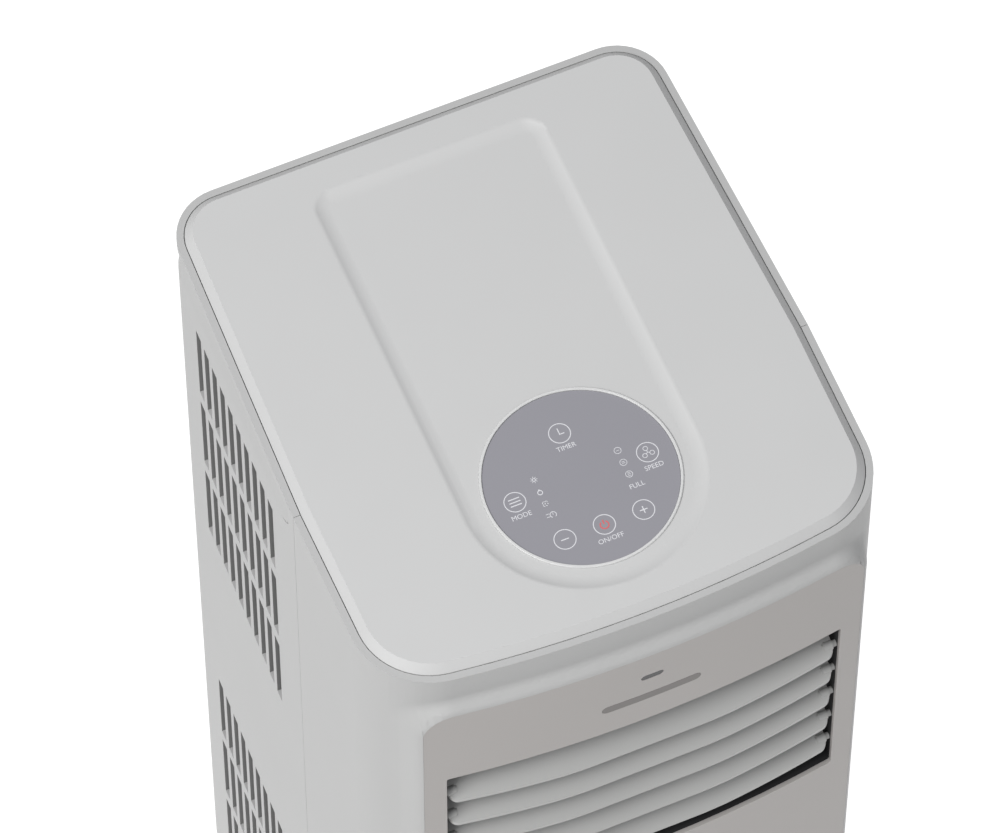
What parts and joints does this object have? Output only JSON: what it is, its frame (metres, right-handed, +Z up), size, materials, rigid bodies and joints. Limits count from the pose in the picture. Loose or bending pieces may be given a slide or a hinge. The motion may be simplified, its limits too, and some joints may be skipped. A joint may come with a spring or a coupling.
{
  "type": "portable air conditioner",
  "caption": "Upright light-grey portable air conditioner on casters: round touch disc on top, louvered outlet in a bowed front panel, slotted side grilles, rear filter and exhaust collar.",
  "frame": {"origin": "on the floor, under the centre of the machine's bounding box", "axes": "+Z up along the height, front panel and louvers face -Y, +X to the right as the front is seen"},
  "size_m": [0.3, 0.34, 0.78],
  "materials": {
    "shell_plastic": "fine moulded grain",
    "cover_plastic": "fine moulded grain",
    "panel_plastic": "satin, warm grey",
    "louver_plastic": "satin",
    "lens_gloss": "polished",
    "badge_grey": "satin",
    "ring_gloss": "polished",
    "touch_glass": "printed, satin",
    "circuit_board": "solder mask",
    "dark_plastic": "moulded",
    "black_plastic": "moulded",
    "steel_can": "zinc plated",
    "black_enamel": "baked enamel",
    "foam_grey": "moulded",
    "fin_aluminium": "stamped fins",
    "copper_pipe": "drawn copper",
    "mesh_fabric": "woven",
    "rubber_black": "moulded",
    "screw_steel": "zinc plated",
    "caster_plastic": "moulded",
    "caster_tyre": "moulded"
  },
  "bodies": {
    "body": {"accumulator": "steel_can", "air_duct": "dark_plastic", "base_pan": "shell_plastic", "capacitor": "black_plastic", "capillary": "copper_pipe", "compressor": "black_enamel", "compressor_grommets": "rubber_black", "condenser": "fin_aluminium", "control_board": "circuit_board", "control_disc": "touch_glass", "control_ring": "ring_gloss", "cord_gland": "rubber_black", "deck": "foam_grey", "discharge_pipe": "copper_pipe", "electrics_box": "dark_plastic", "evaporator": "fin_aluminium", "exhaust_collar": "dark_plastic", "exhaust_motor": "steel_can", "exhaust_scroll": "dark_plastic", "fan_motor": "steel_can", "fan_scroll": "dark_plastic", "front_housing": "shell_plastic", "front_panel": "panel_plastic", "housing_screws": "screw_steel", "level_probe": "dark_plastic", "louver_motor": "black_plastic", "name_badge": "badge_grey", "outlet_frame": "dark_plastic", "rear_housing": "shell_plastic", "receiver_lens": "lens_gloss", "slinger_motor": "steel_can", "suction_pipe": "copper_pipe", "top_cover": "cover_plastic"},
    "louver_1": {"louver_1": "louver_plastic"},
    "louver_2": {"louver_2": "louver_plastic"},
    "louver_3": {"louver_3": "louver_plastic"},
    "louver_4": {"louver_4": "louver_plastic"},
    "louver_5": {"louver_5": "louver_plastic"},
    "louver_link": {"louver_link": "dark_plastic"},
    "fan_wheel": {"fan_wheel": "black_plastic"},
    "exhaust_wheel": {"exhaust_wheel": "black_plastic"},
    "slinger_wheel": {"slinger_wheel": "black_plastic"},
    "intake_filter": {"intake_grille": "shell_plastic", "filter_frame": "dark_plastic", "filter_mesh": "mesh_fabric"},
    "upper_drain_plug": {"upper_drain_plug": "rubber_black"},
    "lower_drain_plug": {"lower_drain_plug": "rubber_black"},
    "caster_front_left": {"caster_fork_front_left": "caster_plastic", "caster_axle_front_left": "screw_steel"},
    "wheel_front_left": {"caster_wheel_front_left": "caster_tyre"},
    "caster_front_right": {"caster_fork_front_right": "caster_plastic", "caster_axle_front_right": "screw_steel"},
    "wheel_front_right": {"caster_wheel_front_right": "caster_tyre"},
    "caster_rear_left": {"caster_fork_rear_left": "caster_plastic", "caster_axle_rear_left": "screw_steel"},
    "wheel_rear_left": {"caster_wheel_rear_left": "caster_tyre"},
    "caster_rear_right": {"caster_fork_rear_right": "caster_plastic", "caster_axle_rear_right": "screw_steel"},
    "wheel_rear_right": {"caster_wheel_rear_right": "caster_tyre"}
  },
  "joints": [
    {"name": "louver_1_tilt", "type": "hinge", "parent": "body", "child": "louver_1", "pos_m": [0, -0.1559, 0.6446], "axis": [1, 0, 0], "range_deg": [-30, 30]},
    {"name": "louver_2_tilt", "type": "hinge", "parent": "body", "child": "louver_2", "pos_m": [0, -0.1559, 0.6165], "axis": [1, 0, 0], "range_deg": [-30, 30]},
    {"name": "louver_3_tilt", "type": "hinge", "parent": "body", "child": "louver_3", "pos_m": [0, -0.1559, 0.5884], "axis": [1, 0, 0], "range_deg": [-30, 30]},
    {"name": "louver_4_tilt", "type": "hinge", "parent": "body", "child": "louver_4", "pos_m": [0, -0.1559, 0.5603], "axis": [1, 0, 0], "range_deg": [-30, 30]},
    {"name": "louver_5_tilt", "type": "hinge", "parent": "body", "child": "louver_5", "pos_m": [0, -0.1559, 0.5322], "axis": [1, 0, 0], "range_deg": [-30, 30]},
    {"name": "link_lift", "type": "slide", "parent": "body", "child": "louver_link", "axis": [0, 0, 1], "range_m": [-0.0115, 0.0115]},
    {"name": "fan_spin", "type": "hinge", "parent": "body", "child": "fan_wheel", "pos_m": [0, 0, 0.59], "axis": [0, 1, 0], "continuous": true},
    {"name": "exhaust_fan_spin", "type": "hinge", "parent": "body", "child": "exhaust_wheel", "pos_m": [0, 0.05, 0.365], "axis": [0, 1, 0], "continuous": true},
    {"name": "slinger_spin", "type": "hinge", "parent": "body", "child": "slinger_wheel", "pos_m": [0, 0.0915, 0.085], "axis": [0, 1, 0], "continuous": true},
    {"name": "intake_filter_pull", "type": "slide", "parent": "body", "child": "intake_filter", "axis": [0, 1, 0], "range_m": [0, 0.06]},
    {"name": "upper_drain_pull", "type": "slide", "parent": "body", "child": "upper_drain_plug", "axis": [0, 1, 0], "range_m": [0, 0.02]},
    {"name": "lower_drain_pull", "type": "slide", "parent": "body", "child": "lower_drain_plug", "axis": [0, 1, 0], "range_m": [0, 0.02]},
    {"name": "caster_front_left_swivel", "type": "hinge", "parent": "body", "child": "caster_front_left", "pos_m": [-0.108, -0.112, 0.046], "axis": [0, 0, 1], "continuous": true},
    {"name": "wheel_front_left_roll", "type": "hinge", "parent": "caster_front_left", "child": "wheel_front_left", "pos_m": [-0.108, -0.1, 0.019], "axis": [1, 0, 0], "continuous": true},
    {"name": "caster_front_right_swivel", "type": "hinge", "parent": "body", "child": "caster_front_right", "pos_m": [0.108, -0.112, 0.046], "axis": [0, 0, 1], "continuous": true},
    {"name": "wheel_front_right_roll", "type": "hinge", "parent": "caster_front_right", "child": "wheel_front_right", "pos_m": [0.108, -0.1, 0.019], "axis": [1, 0, 0], "continuous": true},
    {"name": "caster_rear_left_swivel", "type": "hinge", "parent": "body", "child": "caster_rear_left", "pos_m": [-0.108, 0.118, 0.046], "axis": [0, 0, 1], "continuous": true},
    {"name": "wheel_rear_left_roll", "type": "hinge", "parent": "caster_rear_left", "child": "wheel_rear_left", "pos_m": [-0.108, 0.13, 0.019], "axis": [1, 0, 0], "continuous": true},
    {"name": "caster_rear_right_swivel", "type": "hinge", "parent": "body", "child": "caster_rear_right", "pos_m": [0.108, 0.118, 0.046], "axis": [0, 0, 1], "continuous": true},
    {"name": "wheel_rear_right_roll", "type": "hinge", "parent": "caster_rear_right", "child": "wheel_rear_right", "pos_m": [0.108, 0.13, 0.019], "axis": [1, 0, 0], "continuous": true}
  ],
  "couplings": [
    {"joint": "louver_1_tilt", "follows": "louver_2_tilt", "ratio": 1},
    {"joint": "louver_3_tilt", "follows": "louver_2_tilt", "ratio": 1},
    {"joint": "louver_4_tilt", "follows": "louver_2_tilt", "ratio": 1},
    {"joint": "louver_5_tilt", "follows": "louver_2_tilt", "ratio": 1},
    {"joint": "link_lift", "follows": "louver_2_tilt", "m_per_rad": 0.0214}
  ]
}
